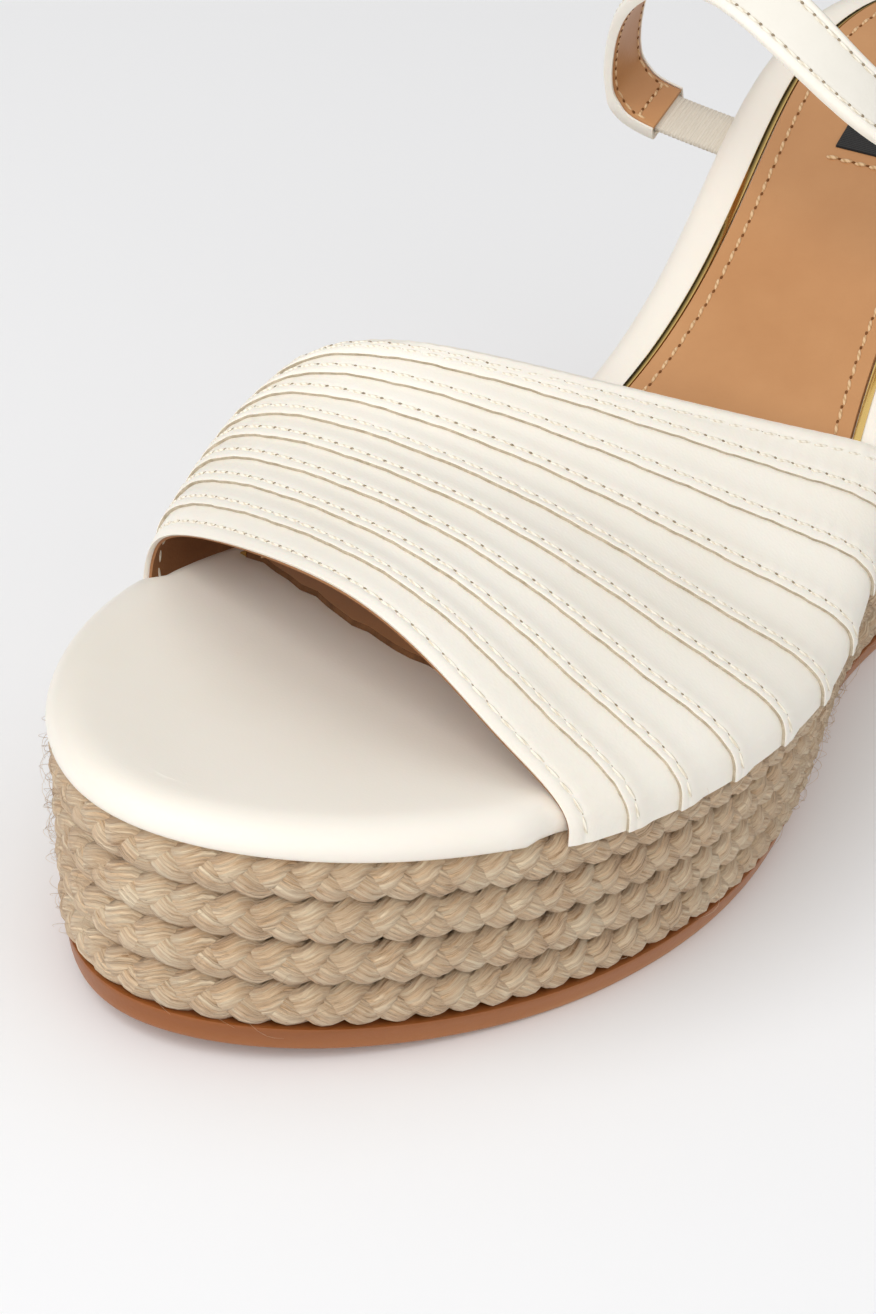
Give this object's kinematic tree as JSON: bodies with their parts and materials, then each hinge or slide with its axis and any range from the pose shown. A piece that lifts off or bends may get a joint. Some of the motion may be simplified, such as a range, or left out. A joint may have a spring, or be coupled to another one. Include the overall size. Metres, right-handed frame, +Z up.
{
  "type": "wedge sandal",
  "caption": "Left platform wedge sandal: plaited jute wrap over a foam wedge, fan-stripped peep-toe vamp, padded footbed and a buckled ankle strap with an elastic gusset.",
  "frame": {"origin": "on the ground, on the underside of the outsole, below the middle of the foot", "axes": "+Z up, +Y from toe to heel, +X towards the outer side of the left foot"},
  "size_m": [0.096, 0.2437, 0.1212],
  "materials": {
    "cream_leather": "smooth satin",
    "tan_leather": "smooth satin",
    "jute_braid": "plaited natural fibre",
    "gum_rubber": "satin",
    "wedge_foam": "matte",
    "shank_steel": "plain",
    "insole_board": "matte",
    "padding": "matte",
    "gold_foil": "mirror",
    "label_patch": "matte",
    "cream_elastic": "ribbed",
    "buckle_metal": "polished"
  },
  "bodies": {
    "shoe": {"outsole": "gum_rubber", "wedge_core": "wedge_foam", "steel_shank": "shank_steel", "shank_rivets": "shank_steel", "insole_board": "insole_board", "footbed_foam": "padding", "insole_cover": "cream_leather", "gold_trim": "gold_foil", "insock": "tan_leather", "insock_label": "label_patch", "jute_bottom_row_1": "jute_braid", "jute_bottom_row_2": "jute_braid", "jute_top_row_1": "jute_braid", "jute_top_row_2": "jute_braid", "jute_heel_row_1": "jute_braid", "jute_heel_row_2": "jute_braid", "jute_heel_row_3": "jute_braid", "jute_heel_row_4": "jute_braid", "jute_heel_row_5": "jute_braid", "jute_heel_row_6": "jute_braid", "jute_heel_row_7": "jute_braid", "jute_heel_row_8": "jute_braid", "vamp_lining": "tan_leather", "vamp_strip_1": "cream_leather", "vamp_strip_2": "cream_leather", "vamp_strip_3": "cream_leather", "vamp_strip_4": "cream_leather", "vamp_strip_5": "cream_leather", "vamp_strip_6": "cream_leather", "vamp_strip_7": "cream_leather", "vamp_strip_8": "cream_leather", "vamp_strip_9": "cream_leather"},
    "strap": {"elastic_gusset": "cream_elastic", "ankle_strap": "cream_leather", "ankle_strap_lining": "tan_leather", "buckle_tab": "cream_leather", "keeper_loop": "cream_leather"},
    "buckle": {"buckle_frame": "buckle_metal"},
    "prong": {"buckle_prong": "buckle_metal"}
  },
  "joints": [
    {"name": "strap_swing", "type": "hinge", "parent": "shoe", "child": "strap", "pos_m": [0.00302, 0.05906, 0.07108], "axis": [0.9421, -0.3007, -0.1486], "range_deg": [-25, 25], "stiffness_Nm_per_rad": 0.08},
    {"name": "buckle_lift", "type": "hinge", "parent": "strap", "child": "buckle", "pos_m": [0.03, 0.0465, 0.077], "axis": [-0.0327, 0.9444, 0.3273], "range_deg": [0, 12]},
    {"name": "prong_lift", "type": "hinge", "parent": "buckle", "child": "prong", "pos_m": [0.03, 0.0465, 0.077], "axis": [-0.0327, 0.9444, 0.3273], "range_deg": [0, 8]}
  ]
}
